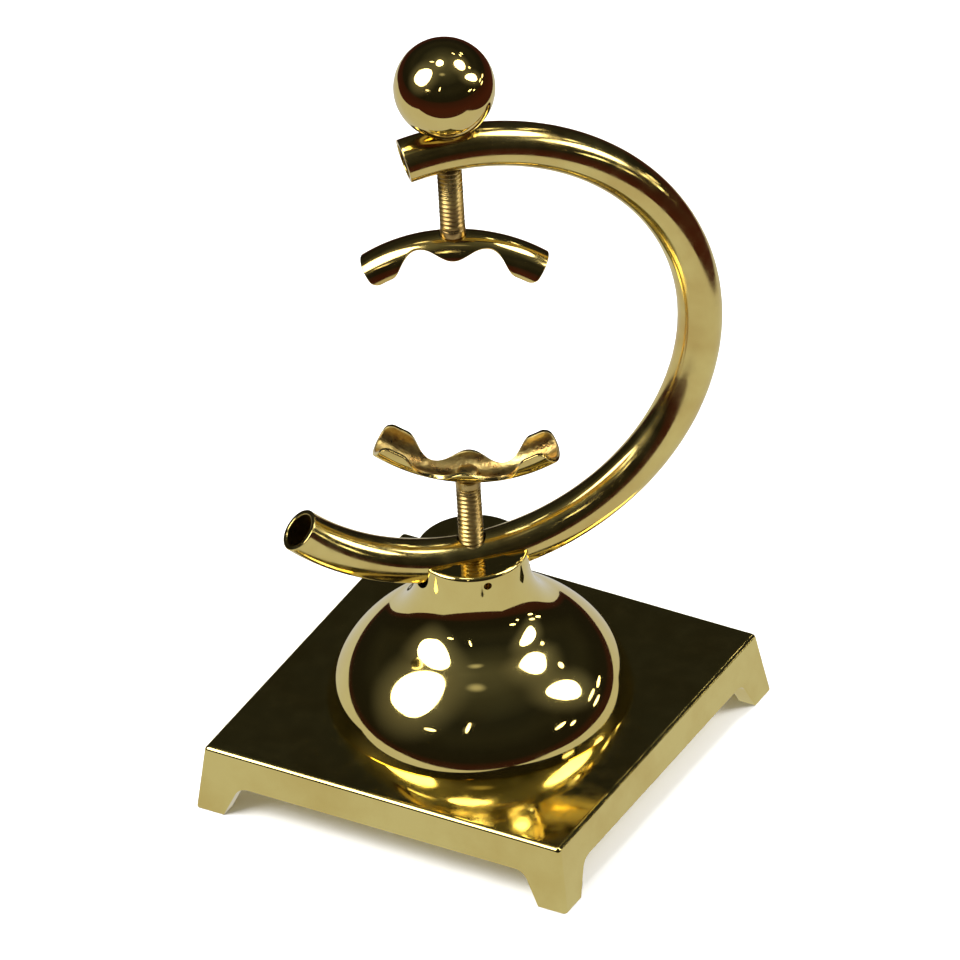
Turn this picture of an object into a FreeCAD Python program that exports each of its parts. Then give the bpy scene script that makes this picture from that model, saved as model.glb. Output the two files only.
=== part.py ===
import FreeCAD, Part
import math
import os

# A polished brass clamp stand. A square footed base carries a turned pedestal, and
# a tube bent into a C stands in a slot across the pedestal's neck. Two scalloped
# claws on screw spindles face each other inside the C and grip a specimen between
# them. Millimetres. +Z is up, and the origin is on the floor under the middle of
# the base. The sides of the base run along X and Y, and the arm stands in the
# vertical plane of the base's diagonal, with its open side towards -X-Y.

# Base casting
base_side = 101.6
base_height = 18.0
plate_thickness = 4.0
apron_depth = 9.2
apron_wall = 5.0
side_flare = 2.2
foot_width_floor = 8.0
foot_width_apron = 11.2
arch_radius = 4.0
edge_radius = 1.1

# Pedestal, a bulb whose widest place lies a little below the plate's top, with a neck
bulb_radius = 38.9
bulb_rise = 33.5
bulb_equator_depth = 5.0
neck_radius = 14.2
neck_fillet = 20.0
neck_height = 44.2
neck_rim_radius = 1.0
bulb_wall = 12.0
threaded_depth = 15.35

# Arm, a bent tube
tube_radius = 5.65
tube_wall = 1.3
arm_bend_radius = 61.9
arm_heading = 45.0
arm_low_end = -135.3
arm_high_end = 100.7
arm_stands_proud = 3.0
plug_length = 14.0

# Screw spindles, 1/4 inch with 20 threads to the inch
spindle_radius = 3.175
thread_pitch = 1.27
journal_radius = 2.0
peened_radius = 2.7
peened_thickness = 0.7
lower_spindle_grip = 15.4
knob_radius = 12.7
knob_socket_depth = 12.0

# Collars between the spindles and the claws
collar_radius = 3.2
collar_height = 2.3

# Claws, halves of the arm's tube bent lengthwise
claw_ridge_radius = 41.0
claw_half_length = 25.1
claw_heading_upper = 27.0
claw_heading_lower = 22.0
claw_below_arm = 19.7
claw_above_arm = 17.8
wrap_at_middle = 84.0
wrap_at_waist = 40.0
wrap_at_lobe = 99.0
waist_place = 9.7
lobe_place = 19.0
lobe_corner_radius = 2.6
spot_face_depth = 0.3
spot_face_margin = 0.3

# Fasteners
pedestal_screw_count = 4
pedestal_screw_inset = 7.0
pedestal_screw_radius = 2.0
pedestal_screw_head_radius = 4.0
pedestal_screw_head_height = 2.2
pedestal_screw_length = 11.0
screw_slot_width = 0.9
screw_slot_depth = 0.8
grub_radius = 1.0
grub_length = 4.0
grub_slot_width = 0.4
grub_slot_depth = 0.5

# Clearances, each on the radius or on one side
thread_clearance = 0.05
journal_clearance = 0.05
face_clearance = 0.05
arm_hole_clearance = 0.5
seat_clearance = 0.05
plug_clearance = 0.03
screw_hole_clearance = 0.25
head_clearance = 0.1
knob_rest_gap = 0.15
overcut = 1.0

# Places that follow from the sizes above
bore_of_tube = tube_radius - tube_wall
arch_height = base_height - apron_depth
plate_underside = base_height - plate_thickness
neck_top = base_height + neck_height
arm_low_line = neck_top + arm_stands_proud - tube_radius
arm_centre = arm_low_line + arm_bend_radius
arm_high_line = arm_centre + arm_bend_radius
upper_ridge = arm_high_line - tube_radius - claw_below_arm
lower_ridge = arm_low_line + tube_radius + claw_above_arm
knob_centre = arm_high_line + tube_radius + knob_rest_gap + knob_radius
slot_floor = arm_low_line - tube_radius - seat_clearance
core_radius = bulb_radius - bulb_wall
core_roof = slot_floor - base_height - threaded_depth
pedestal_screw_circle = bulb_radius - pedestal_screw_inset
pedestal_screw_tip = plate_underside + pedestal_screw_length

UP = FreeCAD.Vector(0, 0, 1)
AXIS = FreeCAD.Vector(0, 0, 0)


def point(x, y, z):
    return FreeCAD.Vector(x, y, z)


def rod(radius, low, high):
    """Upright cylinder on the Z axis between two heights."""
    return Part.makeCylinder(radius, high - low, point(0, 0, low))


def cone(low_radius, high_radius, low, high):
    return Part.makeCone(low_radius, high_radius, high - low, point(0, 0, low))


def turned(shape, heading):
    """A copy turned about the Z axis, in degrees from +X towards +Y."""
    copy = shape.copy()
    copy.rotate(AXIS, UP, heading)
    return copy


def half_side(z):
    """Half the width of the base's outside at a height: the sides lean out downwards."""
    return base_side / 2 + side_flare * (1 - z / base_height)


def square_block(inset, low, high):
    """Square frustum that keeps a distance from the base's leaning sides."""
    wide, narrow = half_side(low) - inset, half_side(high) - inset
    block = Part.makeWedge(-wide, low, -wide, -narrow, -narrow, wide, high, wide, narrow, narrow)
    block.rotate(AXIS, point(1, 0, 0), 90)
    return block


def edges_near(shape, test):
    return [edge for edge in shape.Edges if test(edge.CenterOfMass)]


def arch_cut():
    """Opening between two feet, with rounded upper corners, cut through along Y."""
    top = half_side(arch_height) - foot_width_apron
    floor = half_side(0) - foot_width_floor
    slope = (floor - top) / arch_height
    low = floor + slope * overcut
    reach = half_side(0) + overcut
    corners = [(-low, -overcut), (low, -overcut), (top, arch_height), (-top, arch_height)]
    outline = Part.makePolygon([point(x, -reach, z) for x, z in corners + corners[:1]])
    face = Part.Face(outline)
    block = face.extrude(point(0, 2 * reach, 0))
    ends = edges_near(block, lambda c: abs(abs(c.x) - top) < 0.01 and abs(c.z - arch_height) < 0.01)
    return block.makeFillet(arch_radius, ends)


def screw_places():
    for index in range(pedestal_screw_count):
        angle = math.radians(360 / pedestal_screw_count * index)
        yield point(pedestal_screw_circle * math.cos(angle), pedestal_screw_circle * math.sin(angle), 0)


def countersunk_screw(shank_growth, head_growth, length):
    """Screw standing head down, its head's face flush with the plate's underside."""
    head_radius = pedestal_screw_head_radius + head_growth
    shank_radius = pedestal_screw_radius + shank_growth
    neck = plate_underside + pedestal_screw_head_height + head_growth
    head = cone(head_radius, shank_radius, plate_underside, neck)
    return head.fuse(rod(shank_radius, plate_underside, plate_underside + length))


def make_base_plate():
    block = square_block(0, 0, base_height)
    block = block.makeFillet(edge_radius, edges_near(block, lambda c: c.z > overcut))
    block = block.cut(square_block(apron_wall, -overcut, plate_underside))
    arch = arch_cut()
    block = block.cut(arch).cut(turned(arch, 90))
    sink = rod(pedestal_screw_head_radius + head_clearance, plate_underside - overcut, plate_underside)
    hole = countersunk_screw(screw_hole_clearance, head_clearance, plate_thickness + overcut).fuse(sink)
    for place in screw_places():
        block = block.cut(hole.translated(place))
    return block


def neck_blend():
    """Where the neck's fillet touches the bulb, and the fillet's centre.

    The fillet's circle touches the bulb's ellipse from outside, and its centre is
    one fillet radius outside the neck, so one unknown angle on the ellipse is
    found by halving.
    """
    def touch(angle):
        place = (bulb_radius * math.cos(angle), bulb_rise * math.sin(angle) - bulb_equator_depth)
        normal = (bulb_rise * math.cos(angle), bulb_radius * math.sin(angle))
        length = math.hypot(*normal)
        centre = [place[i] + neck_fillet * normal[i] / length for i in (0, 1)]
        return place, centre
    low, high = 0.0, math.pi / 2
    for _ in range(60):
        middle = (low + high) / 2
        if touch(middle)[1][0] > neck_radius + neck_fillet:
            low = middle
        else:
            high = middle
    place, centre = touch(middle)
    return middle, place, centre


def make_pedestal():
    """Turned outline, cored from below, slotted across the neck and bored down the axis."""
    def at(radius, height):
        return point(radius, 0, base_height + height)

    blend_angle, blend_place, blend_centre = neck_blend()
    half = math.sqrt(0.5)
    middle_of_bulb = at(0, -bulb_equator_depth)
    bulb = Part.Ellipse(middle_of_bulb, bulb_radius, bulb_rise)
    bulb.rotate(FreeCAD.Placement(middle_of_bulb, FreeCAD.Rotation(point(1, 0, 0), 90)))
    foot_angle = math.asin(bulb_equator_depth / bulb_rise)
    foot_radius = bulb_radius * math.cos(foot_angle)
    arc = bulb.toShape(foot_angle, blend_angle)
    # The fillet's arc turns from the bulb's normal to level, so its middle lies between.
    direction = math.atan2(blend_place[1] - blend_centre[1], blend_place[0] - blend_centre[0])
    middle = (direction - math.pi) / 2 if direction < 0 else (direction + math.pi) / 2
    fillet_mid = at(
        blend_centre[0] + neck_fillet * math.cos(middle),
        blend_centre[1] + neck_fillet * math.sin(middle),
    )
    rim_turn = neck_rim_radius * (1 - half)
    edges = [
        Part.makeLine(at(0, 0), at(foot_radius, 0)),
        arc,
        Part.Arc(at(*blend_place), fillet_mid, at(neck_radius, blend_centre[1])).toShape(),
        Part.makeLine(at(neck_radius, blend_centre[1]), at(neck_radius, neck_height - neck_rim_radius)),
        Part.Arc(
            at(neck_radius, neck_height - neck_rim_radius),
            at(neck_radius - rim_turn, neck_height - rim_turn),
            at(neck_radius - neck_rim_radius, neck_height),
        ).toShape(),
        Part.makeLine(at(neck_radius - neck_rim_radius, neck_height), at(0, neck_height)),
        Part.makeLine(at(0, neck_height), at(0, 0)),
    ]
    outline = Part.Face(Part.Wire(Part.__sortEdges__(edges)))
    body = outline.revolve(AXIS, UP, 360)
    core = Part.makeSphere(core_radius)
    squash = FreeCAD.Matrix()
    squash.scale(1, 1, core_roof / core_radius)
    core = core.transformGeometry(squash).translated(point(0, 0, base_height))
    body = body.cut(core)
    seat_radius = tube_radius + seat_clearance
    across = 4 * neck_radius
    start = point(-across / 2, 0, arm_low_line)
    seat = Part.makeCylinder(seat_radius, across, start, point(1, 0, 0))
    mouth = Part.makeBox(across, 2 * seat_radius, neck_height, start - point(0, seat_radius, 0))
    body = body.cut(seat).cut(mouth)
    body = body.cut(rod(spindle_radius + thread_clearance, base_height, neck_top))
    grub_hole_radius = grub_radius + thread_clearance
    grub_hole = Part.makeCylinder(grub_hole_radius, across, point(0, 0, arm_low_line), point(0, -1, 0))
    body = turned(body.cut(grub_hole), arm_heading)
    hole_radius = pedestal_screw_radius + thread_clearance
    hole = rod(hole_radius, base_height - overcut, pedestal_screw_tip + overcut)
    for place in screw_places():
        body = body.cut(hole.translated(place))
    return body


def make_pedestal_screws():
    screw = countersunk_screw(0, 0, pedestal_screw_length)
    slot = Part.makeBox(
        4 * pedestal_screw_head_radius, screw_slot_width, 2 * screw_slot_depth,
        point(-2 * pedestal_screw_head_radius, -screw_slot_width / 2, plate_underside - screw_slot_depth),
    )
    screw = screw.cut(slot)
    return Part.makeCompound([screw.translated(place) for place in screw_places()])


def bent_rod(bend_radius, radius, centre_height, start, end):
    """Round bar bent in the XZ plane. Angles run from +X towards +Z about the bend's centre."""
    centre = point(0, 0, centre_height)
    face = Part.Face(Part.Wire(Part.makeCircle(radius, point(bend_radius, 0, centre_height), UP)))
    face.rotate(centre, point(0, -1, 0), start)
    return face.revolve(centre, point(0, -1, 0), end - start)


def make_c_arm():
    past_end = math.degrees(overcut / arm_bend_radius)
    tube = bent_rod(arm_bend_radius, tube_radius, arm_centre, arm_low_end, arm_high_end)
    hollow = bent_rod(
        arm_bend_radius, bore_of_tube, arm_centre, arm_low_end - past_end, arm_high_end + past_end
    )
    tube = tube.cut(hollow)
    low_hole = rod(spindle_radius + arm_hole_clearance, slot_floor - overcut, arm_low_line + 2 * tube_radius)
    high_hole = rod(
        spindle_radius + thread_clearance, arm_high_line - 2 * tube_radius, arm_high_line + 2 * tube_radius
    )
    return turned(tube.cut(low_hole).cut(high_hole), arm_heading)


def make_thread_plug():
    """Brass slug soldered inside the arm, tapped with the arm for the upper spindle."""
    reach = math.degrees(plug_length / 2 / arm_bend_radius)
    plug = bent_rod(arm_bend_radius, bore_of_tube - plug_clearance, arm_centre, 90 - reach, 90 + reach)
    hole = rod(spindle_radius + thread_clearance, arm_high_line - tube_radius, arm_high_line + tube_radius)
    return turned(plug.cut(hole), arm_heading)


def make_grub_screw():
    """Slotted grub screw that presses the arm against the far wall of its slot."""
    screw = Part.makeCylinder(grub_radius, grub_length, point(0, -tube_radius, arm_low_line), point(0, -1, 0))
    outer_end = -tube_radius - grub_length
    slot = Part.makeBox(
        4 * grub_radius, 2 * grub_slot_depth, grub_slot_width,
        point(-2 * grub_radius, outer_end - grub_slot_depth, arm_low_line - grub_slot_width / 2),
    )
    return turned(screw.cut(slot), arm_heading)


def wrap_at(place):
    """How far the half tube wraps down each side, in degrees from its ridge, along its length."""
    distance = abs(place)
    if distance < waist_place:
        mean = (wrap_at_middle + wrap_at_waist) / 2
        swing = (wrap_at_middle - wrap_at_waist) / 2
        return mean + swing * math.cos(math.pi * distance / waist_place)
    if distance < lobe_place:
        mean = (wrap_at_lobe + wrap_at_waist) / 2
        swing = (wrap_at_lobe - wrap_at_waist) / 2
        return mean - swing * math.cos(math.pi * (distance - waist_place) / (lobe_place - waist_place))
    return wrap_at_lobe


def claw_edge_depth(place):
    """Depth of the scalloped edge below the ridge, rounded off at the claw's corners."""
    depth = tube_radius * (1 - math.cos(math.radians(wrap_at(place))))
    into_corner = abs(place) - (claw_half_length - lobe_corner_radius)
    if into_corner > 0:
        depth -= lobe_corner_radius - math.sqrt(max(lobe_corner_radius ** 2 - into_corner ** 2, 0))
    return depth


def make_claw():
    """Claw with its ridge up at height 0 and its length along X, opening downwards."""
    centre = point(0, 0, -claw_ridge_radius)
    bend_radius = claw_ridge_radius - tube_radius
    half_angle = math.degrees(claw_half_length / claw_ridge_radius)
    past_end = math.degrees(overcut / claw_ridge_radius)
    start, end = 90 - half_angle - past_end, 90 + half_angle + past_end
    shell = bent_rod(bend_radius, tube_radius, -claw_ridge_radius, start, end)
    hollow = bent_rod(bend_radius, bore_of_tube, -claw_ridge_radius, start - past_end, end + past_end)
    shell = shell.cut(hollow)

    def at(place, depth):
        angle = place / claw_ridge_radius
        radius = claw_ridge_radius - depth
        return centre + point(radius * math.sin(angle), 0, radius * math.cos(angle))

    steps = 48
    places = [claw_half_length * (2 * index / steps - 1) for index in range(steps + 1)]
    scallop = Part.BSplineCurve()
    scallop.interpolate([at(place, claw_edge_depth(place)) for place in places])
    first, last = at(-claw_half_length, -overcut), at(claw_half_length, -overcut)
    outline = Part.Wire([
        scallop.toShape(),
        Part.makeLine(at(claw_half_length, claw_edge_depth(claw_half_length)), last),
        Part.Arc(last, at(0, -overcut), first).toShape(),
        Part.makeLine(first, at(-claw_half_length, claw_edge_depth(claw_half_length))),
    ])
    keep = Part.Face(outline).translated(point(0, -2 * tube_radius, 0)).extrude(point(0, 4 * tube_radius, 0))
    claw = shell.common(keep)
    claw = claw.cut(rod(collar_radius + spot_face_margin, -spot_face_depth, overcut))
    return claw.cut(rod(journal_radius + journal_clearance, -2 * tube_wall, overcut))


def collar_low():
    return face_clearance - spot_face_depth


def collar_high():
    return collar_low() + collar_height


def make_collar():
    """Loose ring between the spindle's shoulder and the claw."""
    ring = rod(collar_radius, collar_low(), collar_high())
    return ring.cut(rod(journal_radius + journal_clearance, -overcut, collar_high() + overcut))


def bore_drop(radius):
    """How far the half tube's inner wall falls below its crown at a distance to the side."""
    return bore_of_tube - math.sqrt(bore_of_tube ** 2 - radius ** 2)


def make_spindle(thread_end):
    """Threaded rod, turned down to a journal, its end spread inside the claw like a rivet."""
    shoulder = collar_high() + face_clearance
    head_neck = -tube_wall - face_clearance - bore_drop(journal_radius)
    head_rim = -tube_wall - face_clearance - bore_drop(peened_radius)
    head = cone(peened_radius, journal_radius, head_rim, head_neck)
    head = head.fuse(cone(journal_radius, peened_radius, head_rim - peened_thickness, head_rim))
    journal = rod(journal_radius, head_rim, shoulder)
    return rod(spindle_radius, shoulder, thread_end).fuse(journal).fuse(head).removeSplitter()


def above(shape, heading):
    """Place a claw piece on the upper claw's ridge."""
    return turned(shape, heading).translated(point(0, 0, upper_ridge))


def below(shape, heading):
    """Turn a claw piece over and place it on the lower claw's ridge."""
    copy = shape.copy()
    copy.rotate(AXIS, point(1, 0, 0), 180)
    return turned(copy, heading).translated(point(0, 0, lower_ridge))


def make_ball_knob():
    socket_roof = knob_centre - knob_radius + knob_socket_depth
    ball = Part.makeSphere(knob_radius, point(0, 0, knob_centre))
    return ball.cut(rod(spindle_radius, knob_centre - 2 * knob_radius, socket_roof))


upper_thread_end = knob_centre - knob_radius + knob_socket_depth - upper_ridge
lower_thread_end = lower_ridge - slot_floor + lower_spindle_grip
claw = make_claw()
collar = make_collar()

nodes = {
    "base_plate": make_base_plate(),
    "pedestal": make_pedestal(),
    "pedestal_screws": make_pedestal_screws(),
    "c_arm": make_c_arm(),
    "thread_plug": make_thread_plug(),
    "arm_grub_screw": make_grub_screw(),
    "upper_collar": above(collar, 0),
    "upper_spindle": above(make_spindle(upper_thread_end), 0),
    "ball_knob": make_ball_knob(),
    "upper_claw": above(claw, claw_heading_upper),
    "lower_collar": below(collar, 0),
    "lower_spindle": below(make_spindle(lower_thread_end), 0),
    "lower_claw": below(claw, claw_heading_lower),
}

os.makedirs("parts", exist_ok=True)
for name, shape in nodes.items():
    shape.exportStep("parts/" + name + ".step")
    box = shape.optimalBoundingBox()
    print("%-16s valid %s solids %d volume %9.1f  z %7.2f to %7.2f" % (
        name, shape.isValid(), len(shape.Solids), shape.Volume, box.ZMin, box.ZMax))

heights = (arm_centre, arm_high_line, knob_centre)
print("arm centre height %.2f, arm top line %.2f, knob centre %.2f" % heights)
upper_room = arm_high_line - tube_radius - (upper_ridge + collar_high())
lower_room = (lower_ridge - collar_high()) - (arm_low_line + tube_radius)
print("upper room %.2f mm, %.2f turns" % (upper_room, upper_room / thread_pitch))
print("lower room %.2f mm, %.2f turns" % (lower_room, lower_room / thread_pitch))
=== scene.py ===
import math

import bpy
import numpy as np
from mathutils import Matrix, Vector


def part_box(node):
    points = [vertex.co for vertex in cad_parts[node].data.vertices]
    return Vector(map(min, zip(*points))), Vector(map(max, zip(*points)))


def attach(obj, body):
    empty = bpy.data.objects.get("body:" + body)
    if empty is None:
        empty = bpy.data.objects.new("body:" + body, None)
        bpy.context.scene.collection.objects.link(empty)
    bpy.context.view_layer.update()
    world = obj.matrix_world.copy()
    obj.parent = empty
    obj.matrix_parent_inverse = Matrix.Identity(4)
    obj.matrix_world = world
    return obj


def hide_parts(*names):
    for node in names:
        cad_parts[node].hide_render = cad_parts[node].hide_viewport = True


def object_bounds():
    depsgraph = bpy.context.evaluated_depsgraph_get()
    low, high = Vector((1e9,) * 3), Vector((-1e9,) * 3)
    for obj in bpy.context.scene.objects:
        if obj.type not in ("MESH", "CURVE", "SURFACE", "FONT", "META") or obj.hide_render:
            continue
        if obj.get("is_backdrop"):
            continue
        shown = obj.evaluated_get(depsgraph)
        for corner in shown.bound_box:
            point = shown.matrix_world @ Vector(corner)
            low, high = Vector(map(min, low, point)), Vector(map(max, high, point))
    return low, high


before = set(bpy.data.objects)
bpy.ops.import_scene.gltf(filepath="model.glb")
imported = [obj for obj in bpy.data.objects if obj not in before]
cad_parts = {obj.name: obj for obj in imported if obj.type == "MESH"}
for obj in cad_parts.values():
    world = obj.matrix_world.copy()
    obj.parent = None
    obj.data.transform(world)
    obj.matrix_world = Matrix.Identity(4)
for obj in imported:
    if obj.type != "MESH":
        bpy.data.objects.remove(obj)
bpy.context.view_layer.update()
mm = 0.001

# Base plate. One square brass casting, ground flat and polished bright on its top and
# sides. An apron runs round it, and a slanted L-shaped foot stands under each corner.
# Its underside stays as cast, with four countersunk holes for the pedestal's screws.

plate_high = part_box("base_plate")[1]
plate_top = plate_high.z
foot_reach = plate_high.x
side_flare = 2.2 * mm
plate_thickness = 4.0 * mm
apron_depth = 9.2 * mm
apron_wall = 5.0 * mm
foot_width_floor = 8.0 * mm
foot_width_apron = 11.2 * mm
arch_radius = 4.0 * mm
edge_radius = 1.1 * mm
soft_edge = 0.4 * mm
inner_fillet = 0.8 * mm
shading_strip = 0.2 * mm
straight_run = 45.5 * mm
outer_corner_least = 0.15 * mm
inner_corner = 0.6 * mm
screw_circle = 31.9 * mm
screw_head_radius = 4.1 * mm
screw_shank_radius = 2.25 * mm
countersink_depth = 2.2 * mm
cutter_overrun = 1.0 * mm


def grid_piece(name, points, loop_rows=False, poles=True):
    """Mesh of quads between the neighbours of a grid of points. Each row closes on itself,
    and the last row joins the first where loop_rows is set. With poles, the first and last
    rows are closed by fans to their middles. The sign of the closed volume says whether
    the faces look outwards, and they are turned if they don't."""
    rows, columns = points.shape[:2]
    joined_rows = rows if loop_rows else rows - 1
    r, c = np.meshgrid(np.arange(joined_rows), np.arange(columns), indexing="ij")
    below, beside = (r + 1) % rows, (c + 1) % columns
    quads = np.stack([
        r * columns + c, r * columns + beside, below * columns + beside, below * columns + c,
    ], axis=-1).reshape(-1, 4)
    vertices = points.reshape(-1, 3)
    triangles = np.zeros((0, 3), int)
    if poles:
        here = np.arange(columns)
        ahead = (here + 1) % columns
        first, last = len(vertices), len(vertices) + 1
        start = np.stack([np.full(columns, first), ahead, here], axis=-1)
        base = (rows - 1) * columns
        end = np.stack([np.full(columns, last), base + here, base + ahead], axis=-1)
        triangles = np.concatenate([start, end])
        vertices = np.concatenate([vertices, points[0].mean(0)[None], points[-1].mean(0)[None]])
    corners = vertices[np.concatenate([quads[:, [0, 1, 2]], quads[:, [0, 2, 3]], triangles])]
    volume = np.einsum("ij,ij->i", corners[:, 0], np.cross(corners[:, 1], corners[:, 2])).sum()
    if volume < 0:
        quads, triangles = quads[:, ::-1], triangles[:, ::-1]
    mesh = bpy.data.meshes.new(name)
    mesh.from_pydata(vertices.tolist(), [], quads.tolist() + triangles.tolist())
    mesh.shade_smooth()
    piece = bpy.data.objects.new(name, mesh)
    bpy.context.scene.collection.objects.link(piece)
    return piece


def turned(outline, columns=96, place=(0, 0)):
    """Grid of a turned shape: each (radius, height) of the outline is carried once round
    an upright axis, x = radius * cos(angle) and y = radius * sin(angle)."""
    outline = np.asarray(outline, float)
    angle = np.linspace(0, 2 * math.pi, columns, endpoint=False)
    x = place[0] + outline[:, :1] * np.cos(angle)
    y = place[1] + outline[:, :1] * np.sin(angle)
    z = np.broadcast_to(outline[:, 1:], x.shape)
    return np.stack([x, y, z], axis=-1)


def arc(centre, radius, start, end, steps=8):
    """Points on a circle from one angle to another, in degrees, as (across, up) pairs."""
    angle = np.radians(np.linspace(start, end, steps))
    across, up = centre
    return np.stack([across + radius * np.cos(angle), up + radius * np.sin(angle)], axis=-1)


def carve(piece, cutters, crease=35):
    """Takes the cutters away from a piece and keeps the edges of the cuts crisp."""
    for cutter in cutters:
        cut = piece.modifiers.new("cut", "BOOLEAN")
        cut.operation = "DIFFERENCE"
        cut.solver = "EXACT"
        cut.object = cutter
    graph = bpy.context.evaluated_depsgraph_get()
    mesh = bpy.data.meshes.new_from_object(piece.evaluated_get(graph))
    piece.modifiers.clear()
    piece.data = mesh
    mesh.shade_smooth()
    mesh.set_sharp_from_angle(angle=math.radians(crease))
    for cutter in cutters:
        bpy.data.objects.remove(cutter)


def half_side(z):
    """Half the width of the base at a height: the sides lean out towards the floor."""
    return foot_reach - side_flare * z / plate_top


def lower_edge(run):
    """Height of the apron's lower edge along a side. It is level over the arch, then a
    circle of the arch radius tangent to the foot's slanted line, then the line, then 0."""
    arch_height = plate_top - apron_depth
    line_top = half_side(arch_height) - foot_width_apron
    line_foot = half_side(0) - foot_width_floor
    slant = math.atan2(arch_height, line_foot - line_top)
    tangent = arch_radius * math.tan(slant / 2)
    circle_start = line_top - tangent
    circle_end = line_top + tangent * math.cos(slant)
    run = np.abs(run)
    inside = np.clip(run - circle_start, 0, arch_radius)
    circle = arch_height - arch_radius + np.sqrt(arch_radius ** 2 - inside ** 2)
    line = arch_height * (line_foot - run) / (line_foot - line_top)
    height = np.where(run < circle_end, circle, line)
    return np.clip(height, 0, arch_height)


def plate_columns():
    """Places along half a side, as (run, share, turn). The run is a plain distance from
    the side's middle, closest together over the end of the arch. The share goes on from
    there to the corner, and the turn goes round the corner's small arc to its middle."""
    run = np.concatenate([
        np.linspace(0, 36, 10), np.linspace(36.6, 42, 16), np.linspace(42.3, 44.9, 10),
        [45.0, straight_run / mm],
    ]) * mm
    share = np.array([0.3, 0.6, 0.85, 0.96, 1.0])
    turn = np.radians(np.linspace(0, 45, 6))[1:]
    count = len(run) + len(share) + len(turn)
    columns = np.zeros((count, 3))
    columns[:, 0] = straight_run
    columns[:len(run), 0] = run
    columns[len(run):, 1] = 1
    columns[len(run):len(run) + len(share), 1] = share
    columns[len(run) + len(share):, 2] = turn
    return np.concatenate([-columns[:0:-1], columns])


def plate_points():
    """The whole casting as one grid. A row is one step of the section: out from the middle
    of the top, over the rounded edge, down the side, under the lower edge, up the inner
    wall and back to the middle of the underside. A column is one place on the outline."""
    columns = plate_columns()[:-1]
    run, share, turn = columns.T
    low = lower_edge(run)
    low[np.abs(run) >= straight_run] = 0
    underside = plate_top - plate_thickness

    def ring(inset, z, scale=1.0):
        outside = inset < apron_wall / 2
        corner = max(edge_radius - inset, outer_corner_least) if outside else inner_corner
        straight = half_side(z) - inset - corner
        along = run + share * (straight - straight_run) + corner * np.sin(turn)
        out = straight + corner * np.cos(turn)
        return scale * out, scale * along, z + 0 * run

    rows = [
        ring(edge_radius + shading_strip, plate_top, scale)
        for scale in (0.03, 0.4, 0.75, 0.93, 0.985, 1)
    ]
    for inset, z in arc((edge_radius, plate_top - edge_radius), edge_radius, 90, 180):
        rows.append(ring(inset, z))
    shoulder = plate_top - edge_radius - shading_strip
    for fraction in (0, 0.3, 0.65, 0.93, 1):
        rows.append(ring(0, shoulder + (low + soft_edge + shading_strip - shoulder) * fraction))
    for inset, z in arc((soft_edge, soft_edge), soft_edge, 180, 270, 6):
        rows.append(ring(inset, low + z))
    rows.append(ring(soft_edge + shading_strip, low))
    rows.append(ring(apron_wall - soft_edge - shading_strip, low))
    for inset, z in arc((apron_wall - soft_edge, soft_edge), soft_edge, 270, 360, 6):
        rows.append(ring(inset, low + z))
    wall_top = underside - inner_fillet
    for fraction in (0, 0.07, 0.5, 0.93, 1):
        start = low + soft_edge + shading_strip
        rows.append(ring(apron_wall, start + (wall_top - start) * fraction))
    for inset, z in arc((apron_wall + inner_fillet, wall_top), inner_fillet, 180, 90, 6):
        rows.append(ring(inset, z))
    rim = apron_wall + inner_fillet + shading_strip
    rows += [ring(rim, underside, scale) for scale in (1, 0.97, 0.8, 0.4, 0.03)]
    out, along, z = (np.array(part) for part in zip(*rows))
    sides = []
    for index in range(4):
        heading = index * math.pi / 2
        x = out * math.cos(heading) - along * math.sin(heading)
        y = out * math.sin(heading) + along * math.cos(heading)
        sides.append(np.stack([x, y, z], axis=-1))
    return np.concatenate(sides, axis=1)


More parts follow.
